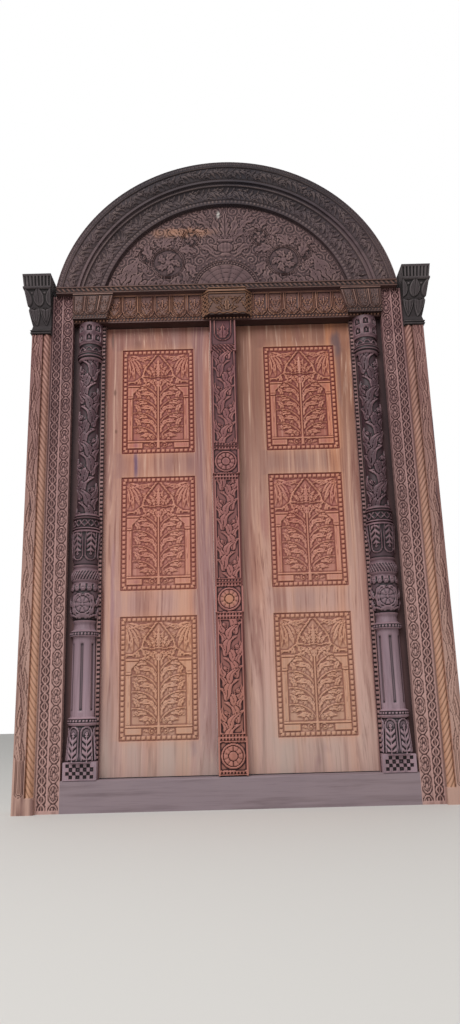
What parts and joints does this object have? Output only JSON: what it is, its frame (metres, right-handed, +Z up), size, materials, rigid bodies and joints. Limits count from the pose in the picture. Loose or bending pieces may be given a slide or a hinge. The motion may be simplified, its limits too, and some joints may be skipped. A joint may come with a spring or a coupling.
{
  "type": "carved temple door",
  "caption": "Carved wooden double door with its frame: inward-swinging panelled leaves, centre post, colonnettes, pilasters, lintel and a round arch with a carved tympanum.",
  "frame": {"origin": "on the ground, under the middle of the whole door", "axes": "+X to the right as seen from the street, +Y inwards through the doorway, +Z up"},
  "size_m": [2.008, 0.213, 3.174],
  "materials": {
    "arch_wood": "old carved hardwood, dark umber, dry and weathered",
    "capital_wood": "old carved hardwood, dark grey-brown, weathered",
    "lintel_wood": "carved hardwood, red-brown, oiled by handling",
    "pilaster_wood": "carved hardwood, pink-tan, dry",
    "colonnette_wood": "carved hardwood, dark purple-grey, slightly polished",
    "jamb_wood": "carved hardwood, mauve-brown, dry",
    "post_wood": "carved hardwood, mauve red-brown",
    "leaf_wood": "planed hardwood, orange-tan with dark grain, oiled",
    "wrought_iron": "forged iron, dark, matt"
  },
  "bodies": {
    "frame": {"sill": "jamb_wood", "lintel": "lintel_wood", "lintel_centre_block": "lintel_wood", "arch_rail": "lintel_wood", "outer_arch_crown": "arch_wood", "inner_arch_crown": "arch_wood", "tympanum_lower_board": "arch_wood", "tympanum_upper_board": "arch_wood", "frame_pegs": "jamb_wood", "left_jamb": "jamb_wood", "left_hanging_stile": "jamb_wood", "left_beaded_stop": "jamb_wood", "left_pilaster": "pilaster_wood", "left_pilaster_capital": "capital_wood", "left_colonnette": "colonnette_wood", "left_impost": "lintel_wood", "left_outer_arch": "arch_wood", "left_inner_arch": "arch_wood", "right_jamb": "jamb_wood", "right_hanging_stile": "jamb_wood", "right_beaded_stop": "jamb_wood", "right_pilaster": "pilaster_wood", "right_pilaster_capital": "capital_wood", "right_colonnette": "colonnette_wood", "right_impost": "lintel_wood", "right_outer_arch": "arch_wood", "right_inner_arch": "arch_wood", "pivot_sockets": "wrought_iron"},
    "left_leaf": {"left_leaf_plank": "leaf_wood", "left_leaf_edge_plank": "leaf_wood", "left_leaf_ledge_1": "leaf_wood", "left_leaf_ledge_2": "leaf_wood", "left_leaf_ledge_3": "leaf_wood", "left_leaf_ledge_4": "leaf_wood", "left_pintles": "wrought_iron"},
    "right_leaf": {"right_leaf_plank": "leaf_wood", "right_leaf_edge_plank": "leaf_wood", "right_leaf_ledge_1": "leaf_wood", "right_leaf_ledge_2": "leaf_wood", "right_leaf_ledge_3": "leaf_wood", "right_leaf_ledge_4": "leaf_wood", "right_pintles": "wrought_iron", "centre_post": "post_wood"}
  },
  "joints": [
    {"name": "left_leaf_hinge", "type": "hinge", "parent": "frame", "child": "left_leaf", "pos_m": [-0.625, 0.054, 0], "axis": [0, 0, 1], "range_deg": [0, 90]},
    {"name": "right_leaf_hinge", "type": "hinge", "parent": "frame", "child": "right_leaf", "pos_m": [0.625, 0.054, 0], "axis": [0, 0, -1], "range_deg": [0, 90]}
  ]
}
